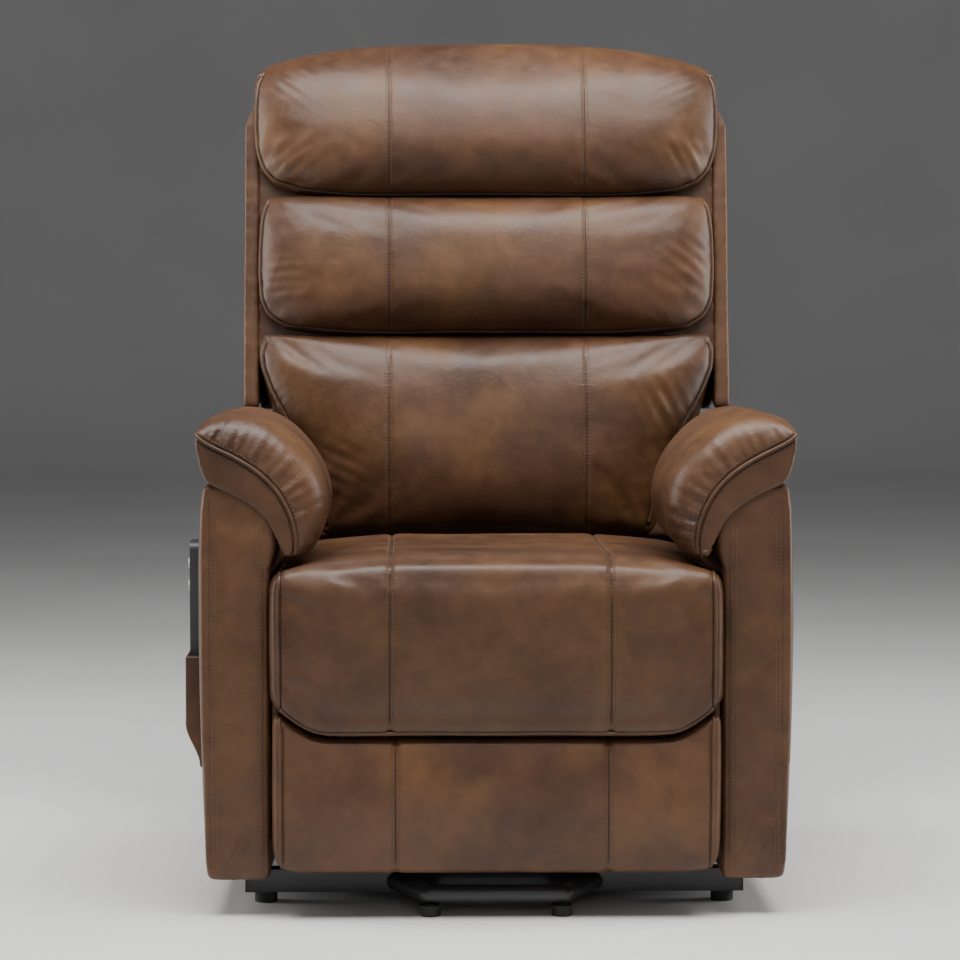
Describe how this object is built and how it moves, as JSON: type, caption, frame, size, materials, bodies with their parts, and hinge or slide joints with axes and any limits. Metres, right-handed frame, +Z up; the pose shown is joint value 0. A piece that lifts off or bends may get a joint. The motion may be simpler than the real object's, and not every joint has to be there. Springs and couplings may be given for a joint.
{
  "type": "lift recliner chair",
  "caption": "Powered lift recliner with tilting seat unit, reclining cushioned back, scissor footrest, pillow arms and pocketed handset on a steel base.",
  "frame": {"origin": "centre of the bounding box at floor level, on the undersides of the feet", "axes": "+Z up; +X to the seated person's left; front of the chair towards -Y"},
  "size_m": [0.792, 0.8635, 1.1637],
  "materials": {
    "black_steel": "glossy black powder coat",
    "rubber": "matt moulded rubber",
    "black_plastic": "matt",
    "motor_housing": "fine texture",
    "rod_steel": "ground",
    "link_steel": "zinc plated",
    "frame_wood": "raw plywood and timber",
    "handset_shell": "fine texture",
    "handset_plate": "satin",
    "button_grey": "soft touch",
    "leather": "waxed pull-up leather, cloudy brown"
  },
  "bodies": {
    "base": {"base_front_tube": "black_steel", "base_rear_tube": "black_steel", "base_side_rails": "black_steel", "base_front_loop": "black_steel", "base_feet": "rubber", "base_end_caps": "black_plastic", "base_brackets": "black_steel", "lift_motor_bracket": "black_steel", "lift_motor": "motor_housing", "lift_motor_tube": "motor_housing"},
    "front_lift_links": {"lift_front_links": "link_steel"},
    "rear_lift_links": {"lift_rear_links": "link_steel"},
    "lift_push_rod": {"lift_rod": "rod_steel"},
    "back": {"back_hinge": "black_steel", "back_frame": "frame_wood", "back_shell": "leather", "head_cushion": "leather", "middle_cushion": "leather", "lumbar_cushion": "leather"},
    "recline_push_rod": {"recline_rod": "rod_steel"},
    "footrest_push_rod": {"footrest_rod": "rod_steel"},
    "footrest_drive_bars": {"footrest_drive": "link_steel"},
    "footrest_crossing": {"footrest_cross_bars": "link_steel"},
    "footrest_control": {"footrest_control_bars": "link_steel"},
    "footrest_outer": {"footrest_outer_bars": "link_steel"},
    "footrest": {"footrest_brackets": "black_steel", "footrest_board": "frame_wood", "footrest_panel": "leather"},
    "handset": {"handset_case": "handset_shell", "handset_face": "handset_plate", "handset_gland": "black_plastic"},
    "key_back_up": {"button_back_up": "button_grey"},
    "key_back_down": {"button_back_down": "button_grey"},
    "key_lift_up": {"button_lift_up": "button_grey"},
    "key_lift_down": {"button_lift_down": "button_grey"},
    "carriage": {"carriage_link_pins": "link_steel", "carriage_plates": "black_steel", "carriage_tubes": "black_steel", "mechanism_plates": "black_steel", "seat_box_sides": "frame_wood", "seat_box_rails": "frame_wood", "seat_springs": "link_steel", "seat_cushion": "leather", "rear_skirt": "leather", "power_box": "black_plastic", "arm_brackets": "black_steel", "arm_frame_left": "frame_wood", "arm_frame_right": "frame_wood", "arm_cover_left": "leather", "arm_cover_right": "leather", "arm_pad_left": "leather", "arm_pad_right": "leather", "side_pocket": "leather", "recline_motor": "motor_housing", "recline_motor_tube": "motor_housing", "footrest_motor": "motor_housing", "footrest_motor_tube": "motor_housing", "control_pins": "link_steel"}
  },
  "joints": [
    {"name": "lift", "type": "hinge", "parent": "base", "child": "front_lift_links", "pos_m": [0, -0.3, 0.075], "axis": [1, 0, 0], "range_deg": [0, 58.06]},
    {"name": "carriage_tilt", "type": "hinge", "parent": "front_lift_links", "child": "carriage", "pos_m": [0, 0.0186, 0.0855], "axis": [1, 0, 0], "range_deg": [-34.69, 0.05]},
    {"name": "rear_link_swing", "type": "hinge", "parent": "base", "child": "rear_lift_links", "pos_m": [0, -0.2488, 0.1032], "axis": [1, 0, 0], "range_deg": [0, 51.84]},
    {"name": "lift_rod_travel", "type": "slide", "parent": "base", "child": "lift_push_rod", "axis": [0, -1, 0], "range_m": [0, 0.06512]},
    {"name": "back_recline", "type": "hinge", "parent": "carriage", "child": "back", "pos_m": [0, 0.185, 0.335], "axis": [-1, 0, 0], "range_deg": [0, 45]},
    {"name": "recline_rod_travel", "type": "slide", "parent": "carriage", "child": "recline_push_rod", "axis": [0, -1, 0], "range_m": [0, 0.04506]},
    {"name": "footrest_open", "type": "hinge", "parent": "carriage", "child": "footrest_drive_bars", "pos_m": [0, -0.3032, 0.25], "axis": [-1, 0, 0], "range_deg": [0, 84.49]},
    {"name": "footrest_rod_travel", "type": "slide", "parent": "carriage", "child": "footrest_push_rod", "axis": [0, -1, 0], "range_m": [0, 0.05832]},
    {"name": "crossing_pivot", "type": "hinge", "parent": "footrest_drive_bars", "child": "footrest_crossing", "pos_m": [0, -0.27313, 0.13152], "axis": [-1, 0, 0], "range_deg": [-84.54, 0.05]},
    {"name": "control_pivot", "type": "hinge", "parent": "carriage", "child": "footrest_control", "pos_m": [0, -0.2715, 0.21667], "axis": [-1, 0, 0], "range_deg": [0, 84.54]},
    {"name": "outer_pivot", "type": "hinge", "parent": "footrest_drive_bars", "child": "footrest_outer", "pos_m": [0, -0.26507, 0.09976], "axis": [-1, 0, 0], "range_deg": [-84.54, 0.05]},
    {"name": "panel_pivot", "type": "hinge", "parent": "footrest_crossing", "child": "footrest", "pos_m": [0, -0.36685, 0.23007], "axis": [-1, 0, 0], "range_deg": [0, 84.54]},
    {"name": "handset_lift_out", "type": "slide", "parent": "carriage", "child": "handset", "axis": [0, 0, 1], "range_m": [0, 0.1]},
    {"name": "press_back_up", "type": "slide", "parent": "handset", "child": "key_back_up", "axis": [1, 0, 0], "range_m": [0, 0.0015], "stiffness_N_per_m": 400, "springref_m": -0.001},
    {"name": "press_back_down", "type": "slide", "parent": "handset", "child": "key_back_down", "axis": [1, 0, 0], "range_m": [0, 0.0015], "stiffness_N_per_m": 400, "springref_m": -0.001},
    {"name": "press_lift_up", "type": "slide", "parent": "handset", "child": "key_lift_up", "axis": [1, 0, 0], "range_m": [0, 0.0015], "stiffness_N_per_m": 400, "springref_m": -0.001},
    {"name": "press_lift_down", "type": "slide", "parent": "handset", "child": "key_lift_down", "axis": [1, 0, 0], "range_m": [0, 0.0015], "stiffness_N_per_m": 400, "springref_m": -0.001}
  ],
  "couplings": [
    {"joint": "carriage_tilt", "follows": "lift", "ratio": -0.59664},
    {"joint": "rear_link_swing", "follows": "lift", "ratio": 0.892},
    {"joint": "lift_rod_travel", "follows": "lift", "m_per_rad": 0.064162},
    {"joint": "recline_rod_travel", "follows": "back_recline", "m_per_rad": 0.05725},
    {"joint": "footrest_rod_travel", "follows": "footrest_open", "m_per_rad": 0.03948},
    {"joint": "crossing_pivot", "follows": "footrest_open", "ratio": -1},
    {"joint": "control_pivot", "follows": "footrest_open", "ratio": 1},
    {"joint": "outer_pivot", "follows": "footrest_open", "ratio": -1},
    {"joint": "panel_pivot", "follows": "footrest_open", "ratio": 1}
  ]
}
